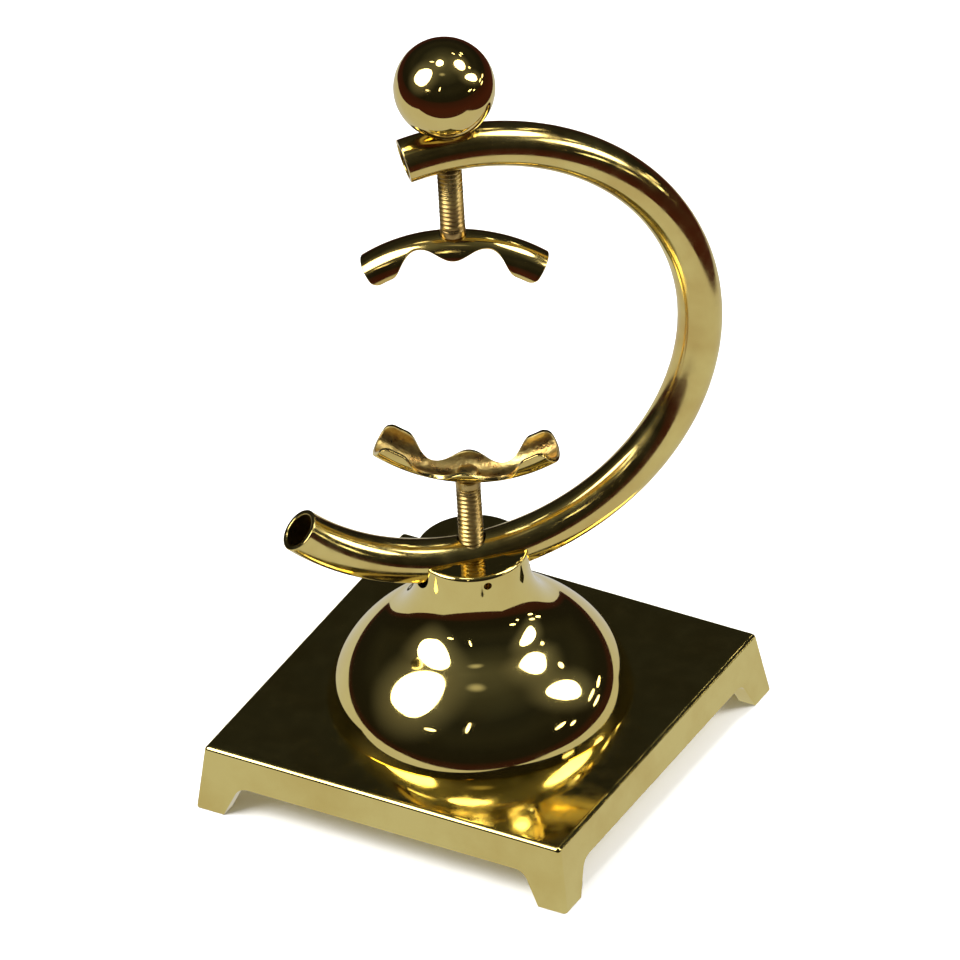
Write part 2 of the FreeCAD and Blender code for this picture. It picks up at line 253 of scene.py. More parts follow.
def brass(name, colour, tarnish, roughness, lines, line_depth, ripple=0.00012, grain=0.0):
    """Brass. Slow noise drifts the colour towards its tarnish and the roughness between
    its two ends, and fine noise squeezed by the three scales of lines gives the polishing
    lines. Ripple is the slow unevenness that hand polishing leaves, and grain is pitting.
    The three depths are in metres."""
    material = bpy.data.materials.new(name)
    material.use_nodes = True
    nodes, links = material.node_tree.nodes, material.node_tree.links
    shader = nodes["Principled BSDF"]
    shader.inputs["Metallic"].default_value = 1.0
    place = nodes.new("ShaderNodeTexCoord").outputs["Object"]

    def noise(scale, detail=2.0, source=place):
        node = nodes.new("ShaderNodeTexNoise")
        node.inputs["Scale"].default_value = scale
        node.inputs["Detail"].default_value = detail
        links.new(source, node.inputs["Vector"])
        return node.outputs["Fac"]

    ramp = nodes.new("ShaderNodeValToRGB")
    ramp.color_ramp.elements[0].position = 0.3
    ramp.color_ramp.elements[0].color = (*tarnish, 1)
    ramp.color_ramp.elements[1].position = 0.62
    ramp.color_ramp.elements[1].color = (*colour, 1)
    drift = noise(70, 4.0)
    links.new(drift, ramp.inputs["Fac"])
    links.new(ramp.outputs["Color"], shader.inputs["Base Color"])

    gloss = nodes.new("ShaderNodeMapRange")
    gloss.inputs["From Min"].default_value = 0.35
    gloss.inputs["From Max"].default_value = 0.7
    gloss.inputs["To Min"].default_value = roughness[0]
    gloss.inputs["To Max"].default_value = roughness[1]
    wear = noise(240, 5.0)
    links.new(wear, gloss.inputs["Value"])
    links.new(gloss.outputs["Result"], shader.inputs["Roughness"])

    stretch = nodes.new("ShaderNodeMapping")
    stretch.inputs["Scale"].default_value = lines
    links.new(place, stretch.inputs["Vector"])
    unevenness = noise(55, 1.0)
    polishing = noise(1.0, 3.0, stretch.outputs["Vector"])
    pitting = noise(1400, 3.0)
    normal = None
    for height, depth in ((unevenness, ripple), (polishing, line_depth), (pitting, grain)):
        if depth:
            bump = nodes.new("ShaderNodeBump")
            bump.inputs["Distance"].default_value = depth
            links.new(height, bump.inputs["Height"])
            if normal:
                links.new(normal, bump.inputs["Normal"])
            normal = bump.outputs["Normal"]
    links.new(normal, shader.inputs["Normal"])
    return material


def countersink(place):
    """Cutter for one screw: a cone from the underside up to the shank's hole."""
    underside = plate_top - plate_thickness
    outline = [
        (screw_head_radius, underside - cutter_overrun),
        (screw_head_radius, underside),
        (screw_shank_radius, underside + countersink_depth),
        (screw_shank_radius, plate_top + cutter_overrun),
    ]
    return grid_piece("countersink", turned(outline, 40, place))


base = grid_piece("base_casting", plate_points())
carve(base, [
    countersink((screw_circle * math.cos(heading), screw_circle * math.sin(heading)))
    for heading in np.radians([0, 90, 180, 270])
])
base.data.materials.append(brass(
    "polished_cast_brass", (0.82, 0.68, 0.25), (0.74, 0.58, 0.19), (0.05, 0.13), ripple=0.00010,
    lines=(900, 60, 60), line_depth=5e-6,
))
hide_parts("base_plate")
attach(base, "stand")

# Pedestal. A heavy brass turning, polished to a mirror: a bulb that meets the plate almost
# upright and sweeps up into a neck. A round-bottomed slot across the neck takes the arm,
# and a hole in the neck's side takes the small screw that clamps it.

pedestal_low, pedestal_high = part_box("pedestal")
bulb_foot = pedestal_low.z
neck_top = pedestal_high.z
bulb_radius = 38.9 * mm
bulb_rise = 33.5 * mm
bulb_equator_depth = 5.0 * mm
bulb_equator = bulb_foot - bulb_equator_depth
neck_radius = 14.2 * mm
neck_fillet = 20.0 * mm
rim_radius = 1.0 * mm
foot_ease = 0.2 * mm
tube_radius = 5.65 * mm
arm_stands_proud = 3.0 * mm
arm_low_line = neck_top + arm_stands_proud - tube_radius
arm_heading = math.radians(45)
spindle_radius = 3.175 * mm
fit_clearance = 0.05 * mm
slot_ease = 0.35 * mm
clamp_hole_radius = 1.05 * mm


def pedestal_outline():
    """Outline as (radius, height): the bulb's ellipse from the plate up, the fillet that
    touches the ellipse from outside and the neck at its side, the neck, its rounded rim,
    the top. The ellipse's last angle is where a circle of the fillet's radius just
    reaches the neck."""
    angle = np.linspace(0, math.pi / 2, 20000)
    slope_out = bulb_rise * np.cos(angle)
    slope_up = bulb_radius * np.sin(angle)
    length = np.hypot(slope_out, slope_up)
    centre_out = bulb_radius * np.cos(angle) + neck_fillet * slope_out / length
    last = np.argmin(np.abs(centre_out - neck_radius - neck_fillet))
    centre_up = bulb_equator + bulb_rise * math.sin(angle[last])
    centre_up += neck_fillet * slope_up[last] / length[last]
    touch = math.degrees(math.atan2(slope_up[last], slope_out[last]))
    first = math.asin((bulb_foot + foot_ease - bulb_equator) / bulb_rise)
    around = np.linspace(first, angle[last], 96)
    out, up = bulb_radius * np.cos(around), bulb_equator + bulb_rise * np.sin(around)
    neck_end = neck_top - rim_radius
    flat_radius = neck_radius - rim_radius
    return np.concatenate([
        [(1 * mm, bulb_foot), (out[0] - 2 * foot_ease, bulb_foot), (out[0] - foot_ease, bulb_foot)],
        np.stack([out, up], axis=-1),
        arc((centre_out[last], centre_up), neck_fillet, touch - 180, -180, 28)[1:],
        [(neck_radius, centre_up + 0.5 * mm), (neck_radius, neck_end - shading_strip)],
        arc((flat_radius, neck_end), rim_radius, 0, 90, 9),
        [(flat_radius - shading_strip, neck_top), (9 * mm, neck_top), (1 * mm, neck_top)],
    ])


def slot_points():
    """Cutter for the arm's slot, a U-shaped section carried straight across the neck. The
    section is a half circle with upright sides that flare at the mouth's softened edges."""
    radius = tube_radius + fit_clearance
    mouth = radius + 2 * slot_ease
    right = np.concatenate([
        arc((radius + slot_ease, neck_top - slot_ease), slot_ease, 180, 90, 6),
        [(mouth, neck_top + 0.5 * mm), (mouth, neck_top + 9 * mm)],
    ])
    left = right[::-1] * (-1, 1)
    across, up = np.concatenate([left, arc((0, arm_low_line), radius, 180, 360, 49), right]).T
    along = np.array([-20, -10, 0, 10, 20])[:, None] * mm
    x = along * math.cos(arm_heading) - across * math.sin(arm_heading)
    y = along * math.sin(arm_heading) + across * math.cos(arm_heading)
    return np.stack([x, y, np.broadcast_to(up, x.shape)], axis=-1)


def cross_bore(radius, start, end, height, heading):
    """Cutter for a level round hole: a circle carried along a heading from the axis."""
    angle = np.linspace(0, 2 * math.pi, 32, endpoint=False)
    along = np.linspace(start, end, 3)[:, None]
    x = along * math.cos(heading) - radius * np.cos(angle) * math.sin(heading)
    y = along * math.sin(heading) + radius * np.cos(angle) * math.cos(heading)
    return np.stack([x, y, np.broadcast_to(height + radius * np.sin(angle), x.shape)], axis=-1)


def upright_bore(name, radius, low, high):
    """Cutter for a round hole along the stand's upright axis."""
    return grid_piece(name, turned([(radius, low), (radius, high)], 64))


pedestal = grid_piece("pedestal_turning", turned(pedestal_outline(), 224))
carve(pedestal, [
    grid_piece("slot_cutter", slot_points()),
    upright_bore(
        "axis_bore", spindle_radius + fit_clearance,
        bulb_foot - cutter_overrun, neck_top + cutter_overrun,
    ),
    grid_piece("clamp_hole", cross_bore(
        clamp_hole_radius, 2 * mm, 20 * mm, arm_low_line, arm_heading - math.pi / 2,
    )),
])
pedestal.data.materials.append(brass(
    "mirror_turned_brass", (0.82, 0.68, 0.25), (0.77, 0.61, 0.21), (0.025, 0.075), ripple=0.00006,
    lines=(60, 60, 1500), line_depth=1.5e-6,
))
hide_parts("pedestal")
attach(pedestal, "stand")

# Small screws. Four countersunk brass screws come up through the plate into the pedestal,
# and a slotted grub screw in the neck presses on the arm. Their slots are a little worn.

screw_brass = brass(
    "worn_screw_brass", (0.70, 0.53, 0.19), (0.42, 0.29, 0.11), (0.14, 0.32), lines=(1200, 90, 90),
    line_depth=1.2e-5, grain=1.2e-5,
)
for node in ("pedestal_screws", "arm_grub_screw"):
    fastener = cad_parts[node]
    fastener.data.materials.clear()
    fastener.data.materials.append(screw_brass)

# Arm. Drawn brass tube bent to a C and polished, both ends cut square and open. The lower
# limb has a clearance hole for the lower spindle, and the upper limb is drilled and tapped
# through a brass slug that is soldered inside it.

tube_wall = 1.3 * mm
bend_radius = 61.9 * mm
arm_centre = arm_low_line + bend_radius
arm_start = math.radians(-135.3)
arm_end = math.radians(100.7)
tube_edge = 0.3 * mm
low_hole_clearance = 0.5 * mm
drill_reach = 9.0 * mm


def bent(along, radius, around, bend, centre_height, heading):
    """Points of a bent tube. The section is a circle (radius, around) whose centre is the
    bend's radius away from the bend's centre, at the angle along, in an upright plane."""
    out = bend + radius * np.cos(around)
    level = out * np.cos(along)
    side = radius * np.sin(around)
    x = level * math.cos(heading) - side * math.sin(heading)
    y = level * math.sin(heading) + side * math.cos(heading)
    return np.stack([x, y, centre_height + out * np.sin(along)], axis=-1)


def tube_points(rows=300, columns=72):
    """The tube's whole skin as one closed grid: along the outside, over the rounded end,
    back along the bore and over the other end. Each row is one (distance, radius)."""
    length = (arm_end - arm_start) * bend_radius
    bore = tube_radius - tube_wall
    places = np.linspace(tube_edge + shading_strip, length - tube_edge - shading_strip, rows)
    far = arc((length - tube_edge, tube_radius - tube_edge), tube_edge, 90, 0, 6)
    far_bore = arc((length - tube_edge, bore + tube_edge), tube_edge, 0, -90, 6)
    near = arc((tube_edge, bore + tube_edge), tube_edge, -90, -180, 6)
    near_outer = arc((tube_edge, tube_radius - tube_edge), tube_edge, 180, 90, 6)
    section = np.concatenate([
        np.stack([places, np.full(rows, tube_radius)], axis=-1), far, far_bore,
        np.stack([places[::-1], np.full(rows, bore)], axis=-1), near, near_outer,
    ])
    around = np.linspace(0, 2 * math.pi, columns, endpoint=False)
    along = arm_start + section[:, :1] / bend_radius
    return bent(along, section[:, 1:], around, bend_radius, arm_centre, arm_heading)


arm = grid_piece("bent_arm", tube_points(), loop_rows=True, poles=False)
arm_high_line = arm_centre + bend_radius
carve(arm, [
    upright_bore(
        "low_hole", spindle_radius + low_hole_clearance,
        arm_low_line - drill_reach, arm_low_line + drill_reach,
    ),
    upright_bore(
        "high_hole", spindle_radius + fit_clearance,
        arm_high_line - drill_reach, arm_high_line + drill_reach,
    ),
])
tube_brass = brass(
    "drawn_tube_brass", (0.81, 0.66, 0.24), (0.70, 0.52, 0.17), (0.09, 0.20), ripple=0.00009,
    lines=(70, 70, 1100), line_depth=4e-6,
)
arm.data.materials.append(tube_brass)
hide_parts("c_arm")
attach(arm, "stand")

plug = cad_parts["thread_plug"]
plug.data.materials.clear()
plug.data.materials.append(brass(
    "sawn_plug_brass", (0.55, 0.38, 0.14), (0.30, 0.19, 0.08), (0.30, 0.50), lines=(1500, 80, 80),
    line_depth=2e-5, grain=2e-5,
))

# Screw spindles. Quarter inch brass rod threaded 20 to the inch, turned down at one end to
# a journal that passes through the collar and the claw and is spread inside it like a
# rivet. The threads are browned.

thread_pitch = 1.27 * mm
thread_depth = 0.55 * mm
journal_radius = 2.0 * mm
peened_radius = 2.7 * mm
peened_thickness = 0.7 * mm
collar_seat = 0.25 * mm
collar_height = 2.3 * mm
lead_in = 1.3 * mm
end_bevel = 0.35 * mm
bevel_length = 0.5 * mm
peened_cone = 0.5 * mm
head_depth = 1.0 * mm
steps_per_turn = 12


def spindle_points(shoulder, tip, head_end, side, columns=56):
    """Threaded rod as one grid. On the threaded stretch the radius falls below the crest by
    a cosine of (height / pitch - angle / full turn), which is a right-hand helix, faded at
    both ends. Side is +1 where the thread is above the journal, and -1 where it is below."""
    length = abs(tip - shoulder)
    steps = np.linspace(0, length, int(length / thread_pitch * steps_per_turn))
    fade = np.clip(np.minimum(steps / lead_in, (length - steps) / lead_in), 0, 1)
    bevel = end_bevel * np.clip(1 - (length - steps) / bevel_length, 0, 1)
    height = shoulder + side * steps
    angle = np.linspace(0, 2 * math.pi, columns, endpoint=False)
    phase = 2 * math.pi * height[:, None] / thread_pitch - angle
    cut = thread_depth * fade[:, None] * (0.5 - 0.5 * np.cos(phase))
    thread_radius = spindle_radius - bevel[:, None] - cut
    journal = [
        (0.6 * mm, head_end - side * peened_thickness),
        (1.6 * mm, head_end - side * 0.65 * mm),
        (2.3 * mm, head_end - side * 0.4 * mm),
        (peened_radius, head_end - side * 0.1 * mm),
        (peened_radius, head_end),
        (journal_radius, head_end + side * peened_cone),
        (journal_radius, shoulder - side * shading_strip),
        (journal_radius, shoulder),
        (spindle_radius - 0.25 * mm, shoulder),
    ]
    plain = [np.full((1, columns), radius) for radius, _ in journal]
    radius = np.concatenate([*plain, thread_radius, 0.3 * thread_radius[-1:]])
    level = np.concatenate([[z for _, z in journal], height, [tip]])[:, None]
    x, y = radius * np.cos(angle), radius * np.sin(angle)
    return np.stack([x, y, np.broadcast_to(level, x.shape)], axis=-1)


spindle_brass = brass(
    "browned_spindle_brass", (0.62, 0.46, 0.17), (0.36, 0.22, 0.08), (0.24, 0.40), ripple=0.00004,
    lines=(90, 90, 900), line_depth=4e-6, grain=4e-6,
)
upper_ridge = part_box("upper_collar")[0].z + collar_seat
lower_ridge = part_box("lower_collar")[1].z - collar_seat
head_reach = tube_wall + fit_clearance + head_depth
upper_spindle = grid_piece("upper_screw_spindle", spindle_points(
    upper_ridge - collar_seat + collar_height + fit_clearance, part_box("upper_spindle")[1].z,
    upper_ridge - head_reach, 1,
))
lower_spindle = grid_piece("lower_screw_spindle", spindle_points(
    lower_ridge + collar_seat - collar_height - fit_clearance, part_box("lower_spindle")[0].z,
    lower_ridge + head_reach, -1,
))
for spindle, node, body in (
    (upper_spindle, "upper_spindle", "upper_screw"),
    (lower_spindle, "lower_spindle", "lower_screw"),
):
    spindle.data.materials.append(spindle_brass)
    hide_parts(node)
    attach(spindle, body)

# Collars. Plain turned rings, loose on the journals between the spindles' shoulders and
# the claws, with softened rims and dull brown faces.

collar_radius = 3.2 * mm
collar_ease = 0.45 * mm


def collar_points(low, high):
    """Ring as a closed section carried round the axis: softened rims outside, square bore."""
    bore = journal_radius + fit_clearance
    face = collar_radius - collar_ease
    return turned(np.concatenate([
        [(bore, low), (face - shading_strip, low)],
        arc((face, low + collar_ease), collar_ease, -90, 0, 7),
        arc((face, high - collar_ease), collar_ease, 0, 90, 7),
        [(face - shading_strip, high), (bore, high)],
    ]), 72)


for node, body in (("upper_collar", "upper_slider"), ("lower_collar", "lower_slider")):
    low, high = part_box(node)
    collar = grid_piece(node + "_ring", collar_points(low.z, high.z), loop_rows=True, poles=False)
    collar.data.materials.append(spindle_brass)
    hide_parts(node)
    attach(collar, body)

# Ball knob. A one inch brass ball, polished bright, bored from below and soldered on the
# upper spindle. It is the grip that turns the screw.

knob_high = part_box("ball_knob")[1]
knob_radius = knob_high.x
knob_centre = knob_high.z - knob_radius
socket_depth = 12.0 * mm


def ball_points():
    """Ball as a turned outline: the socket's roof and wall, a softened lip, then a circle
    from the lip round to the top."""
    lip = math.degrees(math.asin((spindle_radius + 0.5 * mm) / knob_radius))
    around = np.radians(np.linspace(lip - 90, 89.5, 110))
    out, up = knob_radius * np.cos(around), knob_centre + knob_radius * np.sin(around)
    roof = knob_centre - knob_radius + socket_depth
    socket = [
        (0.5 * mm, roof),
        (spindle_radius, roof),
        (spindle_radius, up[0] + 0.35 * mm),
        (spindle_radius + 0.15 * mm, up[0] + 0.1 * mm),
    ]
    return turned(np.concatenate([socket, np.stack([out, up], axis=-1)]), 160)


knob = grid_piece("polished_ball", ball_points())
knob.data.materials.append(brass(
    "mirror_ball_brass", (0.80, 0.65, 0.24), (0.74, 0.56, 0.19), (0.03, 0.09), ripple=0.00006,
    lines=(800, 120, 120), line_depth=2e-6,
))
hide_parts("ball_knob")
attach(knob, "upper_screw")

# Claws. Short lengths of the arm's tube, sawn in half, bent lengthwise and filed to a
# scalloped edge with a lobe at each end and a small peak in the middle of each side. They
# are polished outside, and rough and brown inside.

claw_ridge_radius = 41.0 * mm
claw_half_length = 25.1 * mm
wrap_at_middle = 84.0
wrap_at_waist = 40.0
wrap_at_lobe = 99.0
waist_place = 9.7 * mm
lobe_place = 19.0 * mm
lobe_corner = 2.6 * mm
claw_edge = 0.28 * mm
seat_clearance = 0.3 * mm


def claw_wrap(place):
    """How far the half tube wraps down each side, in radians, along the claw. Two half
    cosines join the middle's peak to the waist and the waist to the lobe, and the lobe's
    corner is a quarter circle taken off the edge's depth."""
    distance = np.abs(place)
    inward = distance / waist_place
    onward = np.clip((distance - waist_place) / (lobe_place - waist_place), 0, 1)

    def swing(start, end, share):
        return (start + end) / 2 + (start - end) / 2 * np.cos(math.pi * share)

    middle = swing(wrap_at_middle, wrap_at_waist, inward)
    lobe = swing(wrap_at_waist, wrap_at_lobe, onward)
    wrap = np.radians(np.where(distance < waist_place, middle, lobe))
    into = np.clip(distance - (claw_half_length - lobe_corner), 0, lobe_corner)
    taken = lobe_corner - np.sqrt(lobe_corner ** 2 - into ** 2)
    depth = tube_radius * (1 - np.cos(wrap)) - taken
    return np.arccos(np.clip(1 - depth / tube_radius, -1, 1))


def claw_points(ridge_height, up, heading):
    """The claw's whole skin as one closed grid. Each row is a C-shaped section: across the
    outside, over the rounded edge, back across the inside and over the other edge. The
    sections are set along the bent ridge, and thin to nothing over the rounded ends."""
    half_wall = tube_wall / 2
    body = claw_half_length - lobe_corner
    corner = body + (lobe_corner - claw_edge) * np.sin(np.linspace(0, math.pi / 2, 14))[1:]
    places = np.concatenate([np.linspace(0, body, 92), corner])
    over = np.linspace(0, math.pi / 2, 6)[1:]
    thinner = 1 - claw_edge / half_wall * (1 - np.cos(over))
    thin = np.concatenate([np.ones(len(places)), thinner, [0.0]])
    last = claw_half_length - claw_edge + claw_edge * np.sin(over)
    places = np.concatenate([places, last, last[-1:]])
    places = np.concatenate([-places[:0:-1], places])[:, None]
    thin = np.concatenate([thin[:0:-1], thin])[:, None]

    share = np.linspace(-1, 1, 44)
    flat = 0 * share
    turn = np.linspace(0, math.pi / 2, 5)
    beyond = claw_edge * np.sin(turn)
    offset = half_wall - claw_edge * (1 - np.cos(turn))
    edge_reach = np.concatenate([beyond, beyond[::-1]])
    edge_offset = np.concatenate([offset, -offset[::-1]])
    across = np.concatenate([share, np.ones(10), share[::-1], -np.ones(10)])
    reach = np.concatenate([flat, edge_reach, flat, -edge_reach])
    level = np.concatenate([flat + half_wall, edge_offset, flat - half_wall, edge_offset[::-1]])

    wrap = claw_wrap(places) - claw_edge / tube_radius
    around = across * wrap + reach / tube_radius
    radius = tube_radius - half_wall + level * thin
    bend = claw_ridge_radius - tube_radius
    along = math.pi / 2 - places / claw_ridge_radius
    points = bent(along, radius, around, bend, -claw_ridge_radius, heading)
    points[..., 2] = ridge_height + up * points[..., 2]
    inside = np.broadcast_to(level < 0.2 * half_wall, around.shape)
    return points, inside


def claw_brass():
    """Outside as the arm's brass; where the inside attribute is 1 the colour is browner,
    the surface duller and pitted."""
    material = brass(
        "filed_claw_brass", (0.80, 0.64, 0.23), (0.66, 0.47, 0.15), (0.07, 0.15), ripple=0.00010,
        lines=(60, 60, 900), line_depth=4e-6,
    )
    nodes, links = material.node_tree.nodes, material.node_tree.links
    shader = nodes["Principled BSDF"]
    inside = nodes.new("ShaderNodeAttribute")
    inside.attribute_name = "inside"
    place = nodes.new("ShaderNodeTexCoord").outputs["Object"]

    blotch = nodes.new("ShaderNodeTexNoise")
    blotch.inputs["Scale"].default_value = 260
    blotch.inputs["Detail"].default_value = 5.0
    links.new(place, blotch.inputs["Vector"])
    brown = nodes.new("ShaderNodeValToRGB")
    brown.color_ramp.elements[0].position = 0.36
    brown.color_ramp.elements[0].color = (0.40, 0.24, 0.075, 1)
    brown.color_ramp.elements[1].position = 0.64
    brown.color_ramp.elements[1].color = (0.82, 0.64, 0.24, 1)
    links.new(blotch.outputs["Fac"], brown.inputs["Fac"])
    tint = nodes.new("ShaderNodeMix")
    tint.data_type = "RGBA"
    links.new(inside.outputs["Fac"], tint.inputs["Factor"])
    links.new(shader.inputs["Base Color"].links[0].from_socket, tint.inputs["A"])
    links.new(brown.outputs["Color"], tint.inputs["B"])
    links.new(tint.outputs["Result"], shader.inputs["Base Color"])

    dull = nodes.new("ShaderNodeMapRange")
    dull.inputs["To Min"].default_value = 0.18
    dull.inputs["To Max"].default_value = 0.42
    links.new(blotch.outputs["Fac"], dull.inputs["Value"])
    gloss = nodes.new("ShaderNodeMix")
    links.new(inside.outputs["Fac"], gloss.inputs["Factor"])
    links.new(shader.inputs["Roughness"].links[0].from_socket, gloss.inputs["A"])
    links.new(dull.outputs["Result"], gloss.inputs["B"])
    links.new(gloss.outputs["Result"], shader.inputs["Roughness"])

    pits = nodes.new("ShaderNodeTexNoise")
    pits.inputs["Scale"].default_value = 1100
    pits.inputs["Detail"].default_value = 4.0
    links.new(place, pits.inputs["Vector"])
    depth = nodes.new("ShaderNodeMath")
    depth.operation = "MULTIPLY"
    links.new(pits.outputs["Fac"], depth.inputs[0])
    links.new(inside.outputs["Fac"], depth.inputs[1])
    bump = nodes.new("ShaderNodeBump")
    bump.inputs["Distance"].default_value = 0.00016
    links.new(depth.outputs["Value"], bump.inputs["Height"])
    links.new(shader.inputs["Normal"].links[0].from_socket, bump.inputs["Normal"])
    links.new(bump.outputs["Normal"], shader.inputs["Normal"])
    return material


claw_finish = claw_brass()
for node, body, ridge, up, heading in (
    ("upper_claw", "upper_jaw", upper_ridge, 1, math.radians(27)),
    ("lower_claw", "lower_screw", lower_ridge, -1, math.radians(22)),
):
    points, inside = claw_points(ridge, up, heading)
    claw = grid_piece(node + "_half_tube", points, poles=False)
    mark = claw.data.attributes.new("inside", "FLOAT", "POINT")
    mark.data.foreach_set("value", inside.astype(np.float32).ravel())
    seat = sorted((ridge - up * seat_clearance, ridge + up * 2 * mm))
    carve(claw, [
        upright_bore("rivet_hole", journal_radius + fit_clearance, ridge - 4 * mm, ridge + 4 * mm),
        upright_bore("collar_seat", collar_radius + seat_clearance, *seat),
    ])
    claw.data.materials.append(claw_finish)
    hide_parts(node)
    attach(claw, body)

# Stage. A plain pale table, soft lamps from the left, the right and behind, and pale and
# dark reflectors that only the polished metal sees.

table_reach = 6.0
table = bpy.data.meshes.new("table")
table.from_pydata([
    (-table_reach, -table_reach, 0), (table_reach, -table_reach, 0),
    (table_reach, table_reach, 0), (-table_reach, table_reach, 0),
], [], [(0, 1, 2, 3)])
floor = bpy.data.objects.new("table", table)
bpy.context.scene.collection.objects.link(floor)
floor.visible_glossy = False
paper = bpy.data.materials.new("pale_table")
paper.use_nodes = True
surface = paper.node_tree.nodes["Principled BSDF"]
surface.inputs["Base Color"].default_value = (0.9, 0.9, 0.9, 1)
surface.inputs["Roughness"].default_value = 0.9
table.materials.append(paper)
floor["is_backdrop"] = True


def glow(name, strength, colour=(1, 1, 1)):
    """Plain emission of one colour."""
    material = bpy.data.materials.new(name)
    material.use_nodes = True
    nodes, links = material.node_tree.nodes, material.node_tree.links
    nodes.clear()
    emission = nodes.new("ShaderNodeEmission")
    emission.inputs["Color"].default_value = (*colour, 1)
    emission.inputs["Strength"].default_value = strength
    output = nodes.new("ShaderNodeOutputMaterial")
    links.new(emission.outputs["Emission"], output.inputs["Surface"])
    return material


def reflector(name, corners, material):
    """Flat card that shows only in the polished metal."""
    mesh = bpy.data.meshes.new(name)
    mesh.from_pydata([tuple(corner) for corner in corners], [], [tuple(range(len(corners)))])
    mesh.materials.append(material)
    card = bpy.data.objects.new(name, mesh)
    bpy.context.scene.collection.objects.link(card)
    card.visible_camera = False
    card.visible_diffuse = False
    card.visible_shadow = False
    card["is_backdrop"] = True
    return card


camera_azimuth = math.radians(31.2237)
camera_elevation = math.radians(35.576)
sheet_depth = 1.0 * mm
sheet_outline = [(-0.42, -0.26), (0.28, -0.27), (0.28, 0.40), (-0.30, 0.62), (-0.60, 0.45)]
turn = Matrix.Rotation(camera_azimuth, 3, "Z")
reflector("pale_sheet", [
    turn @ Vector((x, y, -sheet_depth)) for x, y in sheet_outline
], glow("pale_sheet", 0.61))


def aim(azimuth, elevation, distance, target=(0, 0, 0.08)):
    """Place and direction of a lamp seen from the target. Azimuth is measured from the
    camera, to the right as the camera sees it."""
    heading = camera_azimuth - math.pi / 2 + math.radians(azimuth)
    rise = math.radians(elevation)
    out = Vector((
        math.cos(heading) * math.cos(rise), math.sin(heading) * math.cos(rise), math.sin(rise),
    ))
    return Vector(target) + out * distance, out


def soft_glow(name, strength, colour, edge):
    """Emission that fades to nothing over the outer part of a card. The card's UV map runs
    from -1 to 1, and the fade follows the distance from its middle."""
    material = glow(name, strength, colour)
    nodes, links = material.node_tree.nodes, material.node_tree.links
    lit = next(node for node in nodes if node.type == "EMISSION")
    output = next(node for node in nodes if node.type == "OUTPUT_MATERIAL")
    place = nodes.new("ShaderNodeUVMap").outputs["UV"]
    length = nodes.new("ShaderNodeVectorMath")
    length.operation = "LENGTH"
    links.new(place, length.inputs[0])
    fade = nodes.new("ShaderNodeMapRange")
    fade.interpolation_type = "SMOOTHSTEP"
    fade.inputs["From Min"].default_value = edge
    fade.inputs["From Max"].default_value = 1.0
    fade.inputs["To Min"].default_value = 1.0
    fade.inputs["To Max"].default_value = 0.0
    links.new(length.outputs["Value"], fade.inputs["Value"])
    clear = nodes.new("ShaderNodeBsdfTransparent")
    blend = nodes.new("ShaderNodeMixShader")
    links.new(fade.outputs["Result"], blend.inputs["Fac"])
    links.new(clear.outputs["BSDF"], blend.inputs[1])
    links.new(lit.outputs["Emission"], blend.inputs[2])
    links.new(blend.outputs["Shader"], output.inputs["Surface"])
    return material


def lamp_card(name, azimuth, elevation, distance, width, height, lean, material, wave=0.0):
    """Rounded card that faces the stand: an ellipse of the two half sizes, turned by the
    lean, whose radius swells by a cosine of twice and three times the angle."""
    place, out = aim(azimuth, elevation, distance)
    side = out.cross(Vector((0, 0, 1))).normalized()
    top = side.cross(out)
    angle = np.linspace(0, 2 * math.pi, 64, endpoint=False)
    swell = 1 + wave * (np.cos(2 * angle + 0.6) + 0.7 * np.cos(3 * angle + 1.9))
    wide, tall = width * swell * np.cos(angle), height * swell * np.sin(angle)
    tilt = math.radians(lean)
    across = wide * math.cos(tilt) - tall * math.sin(tilt)
    up = wide * math.sin(tilt) + tall * math.cos(tilt)
    card = reflector(name, [place + side * a + top * b for a, b in zip(across, up)], material)
    layer = card.data.uv_layers.new(name="UVMap")
    layer.data.foreach_set("uv", np.stack([np.cos(angle), np.sin(angle)], axis=-1).ravel())
    return card


for name, azimuth, elevation, distance, width, height, power in (
    ("left_lamp", -74, 47, 0.9, 0.62, 0.55, 13.0),
    ("right_lamp", 90, 36, 0.9, 0.34, 0.42, 7.0),
    ("back_lamp", 145, 60, 0.9, 0.26, 0.26, 5.0),
):
    place, out = aim(azimuth, elevation, distance)
    data = bpy.data.lights.new(name, "AREA")
    data.shape = "RECTANGLE"
    data.size = width
    data.size_y = height
    data.energy = power
    lamp = bpy.data.objects.new(name, data)
    lamp.location = place
    lamp.rotation_mode = "QUATERNION"
    lamp.rotation_quaternion = out.to_track_quat("Z", "Y")
    lamp.visible_glossy = False
    bpy.context.scene.collection.objects.link(lamp)

bright = glow("window_card", 7.0, (1.0, 0.98, 0.93))
halo = soft_glow("window_halo", 0.20, (1.0, 0.97, 0.85), 0.0)
for name, azimuth, elevation, distance, width, height, lean, wave in (
    ("left_window", -72, 43.5, 2.2, 0.62, 0.86, 10, 0.08),
    ("right_window", 81, 29, 2.0, 0.24, 0.56, -45, 0.06),
    ("upper_window", 96, 58, 2.0, 0.38, 0.40, 0, 0.05),
    ("overhead_window", -114, 84, 1.6, 0.20, 0.20, 0, 0.03),
):
    lamp_card(name, azimuth, elevation, distance, width, height, lean, bright, wave)
    lamp_card(
        name + "_halo", azimuth, elevation, distance + 0.05, 3.0 * width, 2.6 * height, lean, halo,
    )
patch = soft_glow("soft_patch", 0.5, (1.0, 0.97, 0.85), 0.1)
lamp_card("soft_patch", -7, 66, 2.0, 0.30, 0.16, 0, patch)

